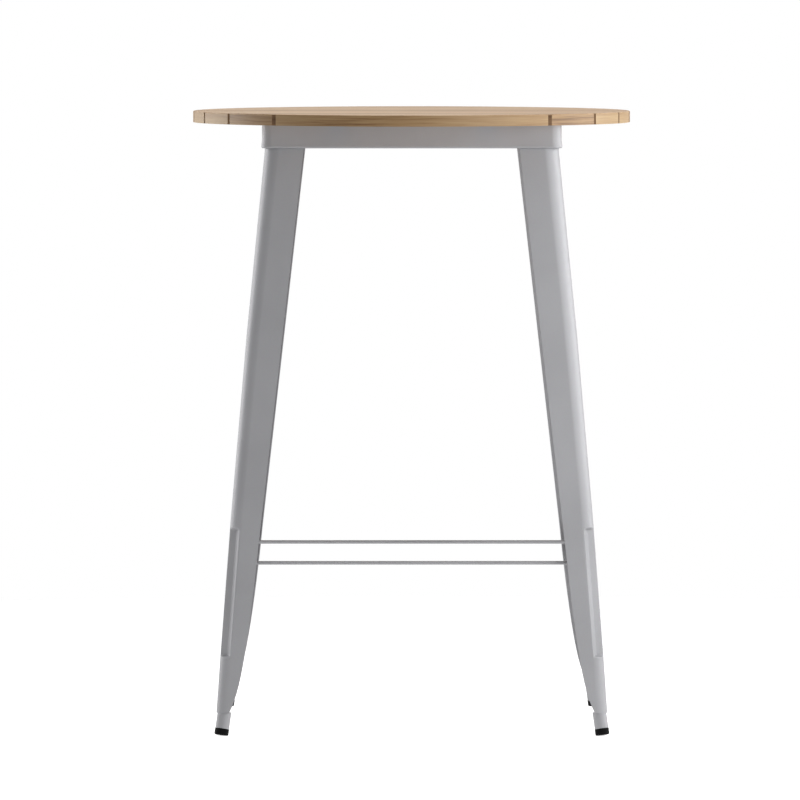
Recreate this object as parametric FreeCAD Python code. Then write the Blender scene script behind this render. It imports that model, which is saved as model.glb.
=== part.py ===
import FreeCAD, Part
import math
import os

# A bar table: a round top of boards on a pressed sheet-steel base with four splayed legs.
# Millimetres, +Z up, +X to the right, +Y to the rear. The origin is on the floor under the middle of the top.

# Overall
TABLE_HEIGHT = 1067.0
TOP_DIAMETER = 762.0

# Boards of the top
SLAT_WIDTH = 80.0
SLAT_GAP = 5.2
SLAT_THICKNESS = 19.5
SLAT_EDGE = 1.5

# Flat bearers let into the boards from below
STRAP_OFFSET = 130.0
STRAP_WIDTH = 30.0
STRAP_THICKNESS = 3.0
STRAP_RIM_MARGIN = 8.0
STRAP_SIDE_CLEARANCE = 0.3

# Fasteners and their holes have flat sides, to save faces where the round doesn't show
SHANK_SIDES = 6
THREAD_CLEARANCE = 0.05

# Countersunk screws through the bearers into the boards
SCREW_DIAMETER = 4.2
SCREW_LENGTH = 15.0
SCREW_HEAD_DIAMETER = 8.4
SCREW_CLEARANCE = 0.1
SCREW_APRON_MARGIN = 2.0

# Apron: a pressed ring with a top flange and a rolled lower edge
APRON_WIDTH = 516.0
APRON_HEIGHT = 40.0
APRON_SHEET = 1.5
APRON_CORNER_RADIUS = 18.0
APRON_FLANGE = 22.0
APRON_FLANGE_CORNER_RADIUS = 12.0
ROLL_DIAMETER = 5.6
ROLL_PROUD = 1.2
ROLL_EDGE = 1.6
ROLL_CLEARANCE = 0.2

# Legs: pressed sheet with two flanges and turned-in edges
LEG_SHEET = 1.5
LEG_TOP_CLEARANCE = 0.3
LEG_SET_BELOW_APRON = 5.0
LEG_SPREAD_AT_FOOT = 672.0
LEG_BOW = 4.4
LEG_BEND_RADIUS_TOP = 26.0
LEG_BEND_RADIUS_FOOT = 18.0
FLANGE_WIDTH_TOP = 67.0
FLANGE_WIDTH_KNEE = 51.2
FLANGE_WIDTH_FOOT = 22.0
KNEE_HEIGHT = 320.0
LIP_DEPTH = 8.0
DRAW_IN_POWERS = (2, 8)
EDGE_POINTS = 9

# Flute pressed into the outer corner of each leg
FLUTE_RADIUS = 17.0
FLUTE_LOW = 136.0
FLUTE_HIGH = 358.0
FLUTE_MARGIN = 10.0

# Angles that the legs bolt to
BRACKET_LENGTH = 58.0
BRACKET_HEIGHT = 32.0
BRACKET_THICKNESS = 3.0
BRACKET_BEND = 45.0
WELD_GAP = 0.05

# Bolts from inside, through the angles and into tapped holes in the legs
LEG_BOLT_DIAMETER = 6.0
LEG_BOLT_HOLE_DIAMETER = 6.6
LEG_BOLT_INSET = 38.0
LEG_BOLT_ACROSS_FLATS = 10.0
LEG_BOLT_HEAD_HEIGHT = 4.0
LEG_BOLT_PAST_LEG = 1.2

# Feet: a leaning collar with a spigot, and a rubber cap under it
FOOT_LEAN = 11.4
COLLAR_DIAMETER = 23.8
COLLAR_LENGTH = 28.0
COLLAR_SET_IN = 2.0
SPIGOT_DIAMETER = 14.0
SPIGOT_LENGTH = 26.0
CAP_DIAMETER = 24.4
CAP_LENGTH = 11.0
CAP_EDGE = 1.6
CAP_TREAD_DEPTH = 0.7
CAP_STEM_DIAMETER = 13.0
CAP_STEM_LENGTH = 12.0
CAP_STEM_CLEARANCE = 0.1

# Stretcher rods, with flattened ends bolted to a gusset in each leg
ROD_HEIGHT = 295.2
ROD_DIAMETER = 6.35
ROD_INSET = 30.5
ROD_TAB_THICKNESS = 3.0
ROD_TAB_WIDTH = 12.0
ROD_TAB_LENGTH = 9.0
ROD_TAB_CORNER = 3.5
ROD_SWAGE_LENGTH = 6.0
GUSSET_THICKNESS = 2.0
GUSSET_END_GAP = 1.0
GUSSET_CHAMFER = 9.0
ROD_BOLT_DIAMETER = 5.0
ROD_BOLT_HOLE_DIAMETER = 6.0
ROD_BOLT_ACROSS_FLATS = 8.0
ROD_BOLT_HEAD_HEIGHT = 3.5
ROD_NUT_HEIGHT = 4.0
ROD_BOLT_PAST_NUT = 1.5

# Distance within which an edge counts as lying on a surface
TOUCHING = 0.01

# What follows from those sizes
UP = FreeCAD.Vector(0, 0, 1)
ORIGIN = FreeCAD.Vector(0, 0, 0)
DIAGONAL = math.sqrt(0.5)
TOP_RADIUS = TOP_DIAMETER / 2
SLAT_PITCH = SLAT_WIDTH + SLAT_GAP
SLATS_EACH_SIDE = round((TOP_DIAMETER - SLAT_WIDTH) / (2 * SLAT_PITCH))
SLAT_BOTTOM = TABLE_HEIGHT - SLAT_THICKNESS
SCREW_HEAD_HEIGHT = STRAP_THICKNESS
STRAP_SIDE = STRAP_OFFSET + STRAP_WIDTH / 2
STRAP_HALF_LENGTH = math.sqrt(TOP_RADIUS**2 - STRAP_SIDE**2) - STRAP_RIM_MARGIN
APRON_HALF = APRON_WIDTH / 2
APRON_BOTTOM = SLAT_BOTTOM - APRON_HEIGHT
APRON_FLANGE_BOTTOM = SLAT_BOTTOM - APRON_SHEET
LEG_OUTER_TOP = APRON_HALF + ROLL_PROUD - ROLL_DIAMETER - ROLL_CLEARANCE
LEG_OUTER_FOOT = LEG_SPREAD_AT_FOOT / 2
LEG_TOP = APRON_FLANGE_BOTTOM - LEG_TOP_CLEARANCE
LEG_CREASE = APRON_BOTTOM - LEG_SET_BELOW_APRON
LEAN = math.radians(FOOT_LEAN)
FOOT_AXIS_UP = FreeCAD.Vector(-math.sin(LEAN) * DIAGONAL, -math.sin(LEAN) * DIAGONAL, math.cos(LEAN))
CAP_RADIUS = CAP_DIAMETER / 2
CAP_BASE = (CAP_RADIUS - CAP_EDGE) * math.sin(LEAN) - CAP_TREAD_DEPTH
COLLAR_BASE = CAP_BASE + CAP_LENGTH * math.cos(LEAN)
FOOT_JOINT = COLLAR_BASE + COLLAR_LENGTH * math.cos(LEAN)
LEG_BLOCK_DEPTH = FLANGE_WIDTH_TOP + LEG_BEND_RADIUS_TOP
FLUTE_SPAN = (FLUTE_LOW - FLUTE_MARGIN, FLUTE_HIGH + FLUTE_MARGIN)
LEG_STATIONS = (FOOT_JOINT, *FLUTE_SPAN, (FLUTE_SPAN[1] + LEG_CREASE) / 2, LEG_CREASE)
GUSSET_TOP = ROD_HEIGHT - ROD_TAB_THICKNESS / 2
GUSSET_BOTTOM = GUSSET_TOP - GUSSET_THICKNESS
SIDE_ROD_HEIGHT = GUSSET_BOTTOM - ROD_TAB_THICKNESS / 2

# Quarter turns that carry a piece from the rear right corner to each corner
CORNERS = {"rear_right": 0, "rear_left": 1, "front_left": 2, "front_right": 3}


def vec(x, y, z=0.0):
    return FreeCAD.Vector(x, y, z)


def turned(shape, quarters):
    """A copy of the shape, turned about the table's upright axis."""
    copy = shape.copy()
    copy.rotate(ORIGIN, UP, 90.0 * quarters)
    return copy


def line(a, b):
    return Part.LineSegment(a, b).toShape()


def arc(a, middle, b):
    return Part.Arc(a, middle, b).toShape()


def corner_arc(start, corner, end, centre):
    """The arc that rounds a right-angled corner, from start to end."""
    outward = corner - centre
    radius = (start - centre).Length
    return arc(start, centre + outward * (radius / outward.Length), end)


def rounded_square(half, radius, z):
    """A square outline with round corners, centred on the table's axis."""
    flat = half - radius
    edges = []
    for quarter in range(4):
        turn = FreeCAD.Rotation(UP, 90.0 * quarter)
        low, high = vec(half, -flat, z), vec(half, flat, z)
        after = vec(flat, half, z)
        edges.append(line(turn.multVec(low), turn.multVec(high)))
        edges.append(
            corner_arc(
                turn.multVec(high),
                turn.multVec(vec(half, half, z)),
                turn.multVec(after),
                turn.multVec(vec(flat, flat, z)),
            )
        )
    return Part.Wire(edges)


def prism(wire, height):
    """The solid over a level outline."""
    return Part.Face(wire).extrude(UP * height)


def placed(shape, base, axis):
    """The shape, drawn along the Z axis, set on base and pointed along axis."""
    shape.Placement = FreeCAD.Placement(base, FreeCAD.Rotation(UP, axis))
    return shape


def polygon(sides, radius, z=0.0):
    """A level regular polygon round the Z axis, with its corners at the radius."""
    step = 2 * math.pi / sides
    return Part.makePolygon(
        [vec(radius * math.cos(step * k), radius * math.sin(step * k), z) for k in range(sides + 1)]
    )


def hexagon(across_flats, height, base, axis):
    """A bolt's head or a nut's body, standing on base."""
    return placed(prism(polygon(6, across_flats / math.sqrt(3)), height), base, axis)


def pin(diameter, length, base, axis):
    """A fastener's shank or the hole for one, running from base along axis."""
    return placed(prism(polygon(SHANK_SIDES, diameter / 2), length), base, axis)


def flat_sided(rings):
    """The solid with flat sides through level polygons, given as (radius, height) from the bottom up."""
    outlines = [polygon(SHANK_SIDES, radius, height) for radius, height in rings]
    faces = [Part.Face(outlines[0]), Part.Face(outlines[-1])]
    for low, high in zip(outlines, outlines[1:]):
        for below, above in zip(low.Edges, high.Edges):
            corners = [v.Point for v in below.Vertexes] + [v.Point for v in reversed(above.Vertexes)]
            faces.append(Part.Face(Part.makePolygon(corners + corners[:1])))
    shell = Part.Shell(faces)
    shell.sewShape()
    return Part.Solid(shell)


def revolved(points, base, axis):
    """The solid of a closed (radius, height) outline, turned round axis from base."""
    outline = Part.makePolygon([vec(r, 0, h) for r, h in points + points[:1]])
    return placed(Part.Face(outline).revolve(ORIGIN, UP, 360), base, axis)


def level_edges(solid, z):
    """The edges of a solid that lie in the level plane at height z."""
    return [e for e in solid.Edges if all(abs(v.Z - z) < TOUCHING for v in e.Vertexes)]


# Top


def screw_y(index):
    """Where a board's screws sit across the table, clear of the apron's flange."""
    side = -1.0 if index < 0 else 1.0
    y = abs(index) * SLAT_PITCH
    if abs(index) == SLATS_EACH_SIDE:
        y = (y - SLAT_WIDTH / 2 + STRAP_HALF_LENGTH) / 2
    room = SCREW_HEAD_DIAMETER / 2 + SCREW_APRON_MARGIN
    inner = APRON_HALF - APRON_FLANGE - room
    outer = APRON_HALF + ROLL_PROUD + room
    if inner < y < outer:
        y = outer
    return side * y


def screw(x, y, extra=0.0):
    """A countersunk screw, head flush with the bearer's underside; extra widens it for its hole."""
    shank = SCREW_DIAMETER / 2 + extra
    rings = [(SCREW_HEAD_DIAMETER / 2 + extra, 0), (shank, SCREW_HEAD_HEIGHT), (shank, SCREW_LENGTH + extra)]
    return placed(flat_sided(rings), vec(x, y, SLAT_BOTTOM), UP)


def screw_places():
    numbers = range(-SLATS_EACH_SIDE, SLATS_EACH_SIDE + 1)
    return [(side * STRAP_OFFSET, screw_y(index)) for index in numbers for side in (-1, 1)]


def strap_box(side, clearance=0.0):
    """The bearer's bar on one side; clearance widens it for its groove."""
    half_width = STRAP_WIDTH / 2 + clearance
    half_length = STRAP_HALF_LENGTH + clearance
    corner = vec(side * STRAP_OFFSET - half_width, -half_length, SLAT_BOTTOM)
    return Part.makeBox(2 * half_width, 2 * half_length, STRAP_THICKNESS, corner)


def make_slat(index):
    """One board: a strip of the round top with eased edges, grooved for the bearers."""
    low = index * SLAT_PITCH - SLAT_WIDTH / 2
    high = index * SLAT_PITCH + SLAT_WIDTH / 2
    if index == -SLATS_EACH_SIDE:
        low = -TOP_DIAMETER
    if index == SLATS_EACH_SIDE:
        high = TOP_DIAMETER
    strip = Part.makeBox(2 * TOP_DIAMETER, high - low, SLAT_THICKNESS, vec(-TOP_DIAMETER, low, SLAT_BOTTOM))
    board = strip.common(Part.makeCylinder(TOP_RADIUS, SLAT_THICKNESS, vec(0, 0, SLAT_BOTTOM)))
    board = board.makeChamfer(SLAT_EDGE, level_edges(board, TABLE_HEIGHT))
    for side in (-1, 1):
        board = board.cut(strap_box(side, STRAP_SIDE_CLEARANCE))
        board = board.cut(screw(side * STRAP_OFFSET, screw_y(index), SCREW_CLEARANCE))
    return board


def make_strap(side):
    bar = strap_box(side)
    for x, y in screw_places():
        if x * side > 0:
            bar = bar.cut(screw(x, y, SCREW_CLEARANCE))
    return bar


def make_slat_screws():
    return Part.Compound([screw(x, y) for x, y in screw_places()])


# Apron


def square_ring(half, radius, inner_half, inner_radius, z, height):
    """A level ring between two square outlines with round corners."""
    outside = prism(rounded_square(half, radius, z), height)
    return outside.cut(prism(rounded_square(inner_half, inner_radius, z), height))


def make_apron():
    """The square ring: wall, inward top flange and the rolled lower edge."""
    roll = ROLL_DIAMETER / 2
    roll_half = APRON_HALF + ROLL_PROUD - roll
    roll_corner = APRON_CORNER_RADIUS + ROLL_PROUD - roll
    roll_z = APRON_BOTTOM + roll
    wall = square_ring(
        APRON_HALF,
        APRON_CORNER_RADIUS,
        APRON_HALF - APRON_SHEET,
        APRON_CORNER_RADIUS - APRON_SHEET,
        roll_z,
        SLAT_BOTTOM - roll_z,
    )
    flange = square_ring(
        APRON_HALF,
        APRON_CORNER_RADIUS,
        APRON_HALF - APRON_FLANGE,
        APRON_FLANGE_CORNER_RADIUS,
        APRON_FLANGE_BOTTOM,
        APRON_SHEET,
    )
    rolled_edge = square_ring(
        roll_half + roll, roll_corner + roll, roll_half - roll, roll_corner - roll, APRON_BOTTOM, ROLL_DIAMETER
    )
    level = level_edges(rolled_edge, APRON_BOTTOM) + level_edges(rolled_edge, APRON_BOTTOM + ROLL_DIAMETER)
    rolled_edge = rolled_edge.makeChamfer(ROLL_EDGE, level)
    return wall.fuse([flange, rolled_edge]).removeSplitter()


# Legs, drawn at the rear right corner


def up_leg(z):
    """Share of the way from the foot to the crease under the apron."""
    return min(1.0, (z - FOOT_JOINT) / (LEG_CREASE - FOOT_JOINT))


def leg_bow(z):
    """Distance of a leg's outer faces from the table's middle planes on its bowed line."""
    share = up_leg(z)
    straight = LEG_OUTER_FOOT + (LEG_OUTER_TOP - LEG_OUTER_FOOT) * share
    return straight + 4 * LEG_BOW * share * (1 - share)


def leg_outer(z):
    """The bowed line in straight spans, so that the flute lies on flat faces; upright inside the apron."""
    for low, high in zip(LEG_STATIONS, LEG_STATIONS[1:]):
        if z < high:
            share = (z - low) / (high - low)
            return leg_bow(low) + (leg_bow(high) - leg_bow(low)) * share
    return LEG_OUTER_TOP


def flange_width(z):
    """Width of a leg's flanges: a straight taper, drawn in below the knee and most of all at the foot."""
    taper = (FLANGE_WIDTH_TOP - FLANGE_WIDTH_KNEE) / (LEG_CREASE - KNEE_HEIGHT)
    straight_at_foot = FLANGE_WIDTH_KNEE - taper * (KNEE_HEIGHT - FOOT_JOINT)
    straight = FLANGE_WIDTH_KNEE + taper * (z - KNEE_HEIGHT)
    below_knee = max(0.0, (KNEE_HEIGHT - z) / (KNEE_HEIGHT - FOOT_JOINT))
    drawn_in = sum(below_knee**power for power in DRAW_IN_POWERS) / len(DRAW_IN_POWERS)
    return straight - (straight_at_foot - FLANGE_WIDTH_FOOT) * drawn_in


def leg_point(z, in_x, in_y):
    """A point of the leg's section, measured inwards from its two outer faces."""
    outer = leg_outer(z)
    return vec(outer - in_x, outer - in_y, z)


def leg_section(z, setback):
    """A square outline in the leg's corner, with its outer corner rounded and its faces set back."""
    bend = LEG_BEND_RADIUS_FOOT + (LEG_BEND_RADIUS_TOP - LEG_BEND_RADIUS_FOOT) * up_leg(z)
    far = setback + LEG_BLOCK_DEPTH

    def at(in_x, in_y):
        return leg_point(z, in_x, in_y)

    return Part.Wire(
        [
            line(at(setback, far), at(setback, bend)),
            corner_arc(at(setback, bend), at(setback, setback), at(bend, setback), at(bend, bend)),
            line(at(bend, setback), at(far, setback)),
            line(at(far, setback), at(far, far)),
            line(at(far, far), at(setback, far)),
        ]
    )


def leg_block(setback, top):
    """The filled corner inside a leg's outer faces, splayed below the apron and upright inside it."""
    return Part.makeLoft([leg_section(z, setback) for z in (*LEG_STATIONS, top)], True, True)


def edge_side(setback, top):
    """All that lies outwards of a flange's edge, seen from the front, with the edge set in."""
    far = LEG_SPREAD_AT_FOOT

    def at(z):
        return vec(leg_outer(z) - flange_width(min(z, LEG_CREASE)) + setback, 0, z)

    step = (KNEE_HEIGHT - FOOT_JOINT) / EDGE_POINTS
    drawn_in = Part.BSplineCurve()
    drawn_in.interpolate([at(FOOT_JOINT + k * step) for k in range(EDGE_POINTS + 1)])
    outline = Part.Wire(
        [
            drawn_in.toShape(),
            line(at(KNEE_HEIGHT), at(LEG_CREASE)),
            line(at(LEG_CREASE), at(top)),
            line(at(top), vec(far, 0, top)),
            line(vec(far, 0, top), vec(far, 0, FOOT_JOINT)),
            line(vec(far, 0, FOOT_JOINT), at(FOOT_JOINT)),
        ]
    )
    return Part.Face(outline).extrude(vec(0, far, 0))


def between_edges(solid, setback, top):
    """What is left of a solid between the edges of both flanges."""
    side = edge_side(setback, top)
    return solid.common(side).common(side.mirror(ORIGIN, vec(1, -1, 0)))


def flute_tool(extra):
    """A round bar along the leg's outer corner; extra grows it for the inside of the sheet."""
    low = leg_point(FLUTE_LOW - extra, 0, 0)
    high = leg_point(FLUTE_HIGH + extra, 0, 0)
    return Part.makeCylinder(FLUTE_RADIUS + extra, (high - low).Length, low, high - low)


def make_leg():
    """The pressed sheet: outside less inside, with the flute driven through both and the edges turned in."""
    outside = between_edges(leg_block(0, LEG_TOP).cut(flute_tool(0)), 0, LEG_TOP)
    past_top = LEG_TOP + LEG_SHEET
    channel = between_edges(leg_block(LEG_SHEET, past_top), LEG_SHEET, past_top)
    hollow = channel.fuse(leg_block(LIP_DEPTH, past_top)).cut(flute_tool(LEG_SHEET))
    leg = outside.cut(hollow)
    for seat, outward in leg_bolt_places():
        leg = leg.cut(pin(LEG_BOLT_DIAMETER + 2 * THREAD_CLEARANCE, APRON_FLANGE, seat, outward))
    return leg


# Fixing of the legs to the apron, drawn at the rear right corner


def make_bracket():
    """A strip bent across the corner, inside the leg and under the apron's flange."""
    near = LEG_SHEET + WELD_GAP
    far = near + BRACKET_THICKNESS
    end = BRACKET_LENGTH
    outer_bend = LEG_BEND_RADIUS_TOP
    inner_bend = outer_bend + BRACKET_THICKNESS * math.tan(math.radians(BRACKET_BEND / 2))
    half = [(near, end), (near, outer_bend), (outer_bend, near), (end, near)]
    back = [(end, far), (inner_bend, far), (far, inner_bend), (far, end)]
    z = APRON_FLANGE_BOTTOM - BRACKET_HEIGHT
    points = [vec(LEG_OUTER_TOP - in_x, LEG_OUTER_TOP - in_y, z) for in_x, in_y in half + back + half[:1]]
    angle = prism(Part.makePolygon(points), BRACKET_HEIGHT)
    for seat, outward in leg_bolt_places():
        angle = angle.cut(pin(LEG_BOLT_HOLE_DIAMETER, BRACKET_THICKNESS, seat, outward))
    return angle


def leg_bolt_places():
    """Seat of each bolt's head on the angle, and the way that its shank points."""
    z = APRON_FLANGE_BOTTOM - BRACKET_HEIGHT / 2
    seat = LEG_OUTER_TOP - LEG_SHEET - WELD_GAP - BRACKET_THICKNESS
    along = LEG_OUTER_TOP - LEG_BOLT_INSET
    return [(vec(seat, along, z), vec(1, 0, 0)), (vec(along, seat, z), vec(0, 1, 0))]


def make_leg_bolts():
    length = BRACKET_THICKNESS + WELD_GAP + LEG_SHEET + LEG_BOLT_PAST_LEG
    bolts = []
    for seat, outward in leg_bolt_places():
        head = hexagon(LEG_BOLT_ACROSS_FLATS, LEG_BOLT_HEAD_HEIGHT, seat, outward * -1)
        bolts.append(head.fuse(pin(LEG_BOLT_DIAMETER, length, seat, outward)))
    return bolts


# Feet, drawn at the rear right corner


def foot_joint():
    """Where the foot's axis meets the end of the leg: the collar is set in from the leg's outer faces."""
    inward = COLLAR_SET_IN + COLLAR_DIAMETER / 2
    return leg_point(FOOT_JOINT, inward, inward)


def make_foot_socket():
    """A leaning collar, cut level under the leg, with a spigot above and a bore for the cap's stem below."""
    top = foot_joint()
    base = top - FOOT_AXIS_UP * COLLAR_LENGTH
    collar = Part.makeCylinder(COLLAR_DIAMETER / 2, 2 * COLLAR_LENGTH, base, FOOT_AXIS_UP)
    collar = collar.cut(Part.makeCylinder(COLLAR_DIAMETER, 2 * COLLAR_LENGTH, top))
    collar = collar.fuse(pin(SPIGOT_DIAMETER, SPIGOT_LENGTH, top, FOOT_AXIS_UP))
    bore = CAP_STEM_DIAMETER + 2 * CAP_STEM_CLEARANCE
    return collar.cut(pin(bore, CAP_STEM_LENGTH + CAP_STEM_CLEARANCE, base, FOOT_AXIS_UP))


def make_foot_cap():
    """A round rubber cap with a stem into the collar, worn flat where it meets the floor."""
    top = foot_joint() - FOOT_AXIS_UP * COLLAR_LENGTH
    outline = [
        (0, 0),
        (CAP_RADIUS, 0),
        (CAP_RADIUS, CAP_EDGE - CAP_LENGTH),
        (CAP_RADIUS - CAP_EDGE, -CAP_LENGTH),
        (0, -CAP_LENGTH),
    ]
    cap = revolved(outline, top, FOOT_AXIS_UP)
    cap = cap.fuse(pin(CAP_STEM_DIAMETER, CAP_STEM_LENGTH, top, FOOT_AXIS_UP))
    below_floor = Part.makeCylinder(CAP_DIAMETER, CAP_DIAMETER, vec(top.x, top.y), UP * -1)
    return cap.cut(below_floor)


# Stretchers


def rod_line():
    """Distance of the rods from the table's middle planes."""
    return leg_outer(ROD_HEIGHT) - ROD_INSET


def make_rod(z):
    """A round rod along X with both ends drawn down, pressed flat and drilled."""
    bolt = rod_line()
    flat_start = bolt - ROD_TAB_LENGTH
    round_end = flat_start - ROD_SWAGE_LENGTH
    tab_end = bolt + ROD_TAB_WIDTH / 2
    rod_radius = ROD_DIAMETER / 2
    half = ROD_TAB_WIDTH / 2
    corner = ROD_TAB_CORNER
    base = z - ROD_TAB_THICKNESS / 2
    along = vec(1, 0, 0)

    side = [(round_end, rod_radius), (flat_start, half), (tab_end - corner, half), (tab_end, half - corner)]
    outline = side + [(x, -y) for x, y in reversed(side)] + side[:1]
    tab = prism(Part.makePolygon([vec(x, y, base) for x, y in outline]), ROD_TAB_THICKNESS)
    tab = tab.cut(pin(ROD_BOLT_HOLE_DIAMETER, ROD_TAB_THICKNESS, vec(bolt, 0, base), UP))
    press = [
        (flat_start, ROD_TAB_THICKNESS / 2),
        (round_end, rod_radius),
        (-round_end, rod_radius),
        (-flat_start, ROD_TAB_THICKNESS / 2),
    ]
    outline = press + [(x, -h) for x, h in reversed(press)] + press[:1]
    pressed = Part.Face(Part.makePolygon([vec(x, -rod_radius, z + h) for x, h in outline]))
    rod = Part.makeCylinder(rod_radius, 2 * flat_start, vec(-flat_start, 0, z), along)
    rod = rod.common(pressed.extrude(vec(0, ROD_DIAMETER, 0)))
    return rod.fuse([tab, turned(tab, 2)]).removeSplitter()


def make_gusset():
    """A plate across the leg's channel, cut back clear of the flute and drilled for the rods' bolt."""
    near = LEG_SHEET + WELD_GAP
    far = ROD_INSET + ROD_TAB_LENGTH - GUSSET_END_GAP
    cut = far - GUSSET_CHAMFER
    clear = near + (FLUTE_RADIUS + LEG_SHEET) / DIAGONAL
    outline = [(near, clear), (clear, near), (far, near), (far, cut), (cut, far), (near, far), (near, clear)]
    outer = leg_outer(GUSSET_TOP)
    points = [vec(outer - in_x, outer - in_y, GUSSET_BOTTOM) for in_x, in_y in outline]
    plate = prism(Part.makePolygon(points), GUSSET_THICKNESS)
    bolt = vec(rod_line(), rod_line(), GUSSET_BOTTOM)
    return plate.cut(pin(ROD_BOLT_HOLE_DIAMETER, GUSSET_THICKNESS, bolt, UP))


def make_rod_bolt():
    """A hexagon-headed bolt down through both rod ends and the gusset."""
    seat = vec(rod_line(), rod_line(), ROD_HEIGHT + ROD_TAB_THICKNESS / 2)
    grip = 2 * ROD_TAB_THICKNESS + GUSSET_THICKNESS
    head = hexagon(ROD_BOLT_ACROSS_FLATS, ROD_BOLT_HEAD_HEIGHT, seat, UP)
    length = grip + ROD_NUT_HEIGHT + ROD_BOLT_PAST_NUT
    return head.fuse(pin(ROD_BOLT_DIAMETER, length, seat, UP * -1))


def make_rod_nut():
    seat = vec(rod_line(), rod_line(), SIDE_ROD_HEIGHT - ROD_TAB_THICKNESS / 2 - ROD_NUT_HEIGHT)
    body = hexagon(ROD_BOLT_ACROSS_FLATS, ROD_NUT_HEIGHT, seat, UP)
    return body.cut(pin(ROD_BOLT_DIAMETER + 2 * THREAD_CLEARANCE, ROD_NUT_HEIGHT, seat, UP))


# The whole table


def at_every_corner(shapes):
    """One group of the shapes at all four corners."""
    return Part.Compound([turned(shape, quarters) for quarters in CORNERS.values() for shape in shapes])


def make_parts():
    parts = {}
    for number, index in enumerate(range(-SLATS_EACH_SIDE, SLATS_EACH_SIDE + 1), start=1):
        parts[f"slat_{number}"] = make_slat(index)
    parts["strap_left"] = make_strap(-1)
    parts["strap_right"] = make_strap(1)
    parts["slat_screws"] = make_slat_screws()
    parts["apron"] = make_apron()

    corner_pieces = {
        "leg": make_leg(),
        "bracket": make_bracket(),
        "gusset": make_gusset(),
    }
    for piece, shape in corner_pieces.items():
        for corner, quarters in CORNERS.items():
            parts[f"{piece}_{corner}"] = turned(shape, quarters)

    parts["leg_bolts"] = at_every_corner(make_leg_bolts())
    parts["foot_sockets"] = at_every_corner([make_foot_socket()])
    parts["foot_caps"] = at_every_corner([make_foot_cap()])

    front_rod = make_rod(ROD_HEIGHT)
    side_rod = turned(make_rod(SIDE_ROD_HEIGHT), 1)
    for name, rod, way in (
        ("rod_front", front_rod, vec(0, -1)),
        ("rod_rear", front_rod, vec(0, 1)),
        ("rod_left", side_rod, vec(-1, 0)),
        ("rod_right", side_rod, vec(1, 0)),
    ):
        parts[name] = rod.translated(way * rod_line())
    parts["rod_bolts"] = at_every_corner([make_rod_bolt()])
    parts["rod_nuts"] = at_every_corner([make_rod_nut()])
    return parts


os.makedirs("parts", exist_ok=True)
for name, shape in make_parts().items():
    shape.exportStep(os.path.join("parts", name + ".step"))
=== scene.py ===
import math
from contextlib import contextmanager

import bpy
from bpy.props import FloatProperty, FloatVectorProperty, IntProperty, PointerProperty
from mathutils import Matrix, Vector


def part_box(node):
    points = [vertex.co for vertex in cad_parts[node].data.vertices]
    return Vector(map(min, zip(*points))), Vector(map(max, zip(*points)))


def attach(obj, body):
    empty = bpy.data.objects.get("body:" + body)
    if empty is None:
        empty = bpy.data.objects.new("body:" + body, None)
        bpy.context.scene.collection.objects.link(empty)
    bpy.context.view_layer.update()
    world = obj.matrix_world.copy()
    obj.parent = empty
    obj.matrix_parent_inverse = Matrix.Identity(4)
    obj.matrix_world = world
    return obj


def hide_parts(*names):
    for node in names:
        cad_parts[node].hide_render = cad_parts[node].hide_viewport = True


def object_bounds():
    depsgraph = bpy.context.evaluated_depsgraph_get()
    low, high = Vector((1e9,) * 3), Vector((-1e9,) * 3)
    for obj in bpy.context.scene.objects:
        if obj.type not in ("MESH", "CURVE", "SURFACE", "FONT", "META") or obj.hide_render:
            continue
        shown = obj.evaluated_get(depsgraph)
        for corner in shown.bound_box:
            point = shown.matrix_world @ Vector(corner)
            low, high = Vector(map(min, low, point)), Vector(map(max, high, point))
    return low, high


bl_info = {
    "name": "Slatted Bar Table",
    "version": (1, 0, 0),
    "blender": (4, 5, 0),
    "location": "3D View > Sidebar > Bar Table",
    "description": "Dresses a round slatted bar table on a pressed steel base and sets it in a studio",
    "category": "Object",
}

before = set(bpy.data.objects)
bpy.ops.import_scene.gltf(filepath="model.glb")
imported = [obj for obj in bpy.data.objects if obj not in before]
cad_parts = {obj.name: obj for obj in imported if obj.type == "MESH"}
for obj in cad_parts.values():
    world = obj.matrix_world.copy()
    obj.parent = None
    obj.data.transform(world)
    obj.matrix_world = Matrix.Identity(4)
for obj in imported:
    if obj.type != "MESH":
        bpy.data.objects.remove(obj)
CAD_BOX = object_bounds()

MM = 0.001
UP = Vector((0, 0, 1))
BODY = "root"
CORNERS = ("front_left", "front_right", "rear_left", "rear_right")
SLAT_NODES = [f"slat_{number}" for number in range(1, 10)]
STRAP_NODES = ["strap_left", "strap_right"]

# Points nearer to each other than this are one point
MERGE_DISTANCE = 0.01 * MM
# How far a cutting tool reaches past the face that it cuts
CUT_OVERLAP = 1 * MM

# Degrees by which two faces turn: below the first they are one plane, below the second the bend
# is too slight to see, above the third their edge is sharp, and above the fourth it is square
PLANE_TURN = 0.2
SLIGHT_TURN = 3
SHARP_TURN = 25
SQUARE_TURN = 60
# Degrees below which the edge of a foot stays unrounded
FOOT_TURN = 40
# Degrees up to which edges are shaded smooth: on boards, rods and fasteners, on sheet and feet, on legs
SMOOTH_ROUND = 35
SMOOTH_SHEET = 50
SMOOTH_LEG = 30
# A face is upright when its normal rises less than this
UPRIGHT_RISE = 0.7

# Bolt heads and nuts: shares of the height, for the washer face and the chamfer,
# and of the width across flats, for the round that cuts the chamfer and the washer face
HEAD_SIDES = 32
WASHER_HEIGHT = 0.12
CHAMFER_HEIGHT = 0.22
CHAMFER_REACH = 1.06
WASHER_REACH = 0.96
# Bolt shanks: the chamfer at the tip as a share of the diameter
SHANK_SIDES = 24
TIP_CHAMFER = 0.1

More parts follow.
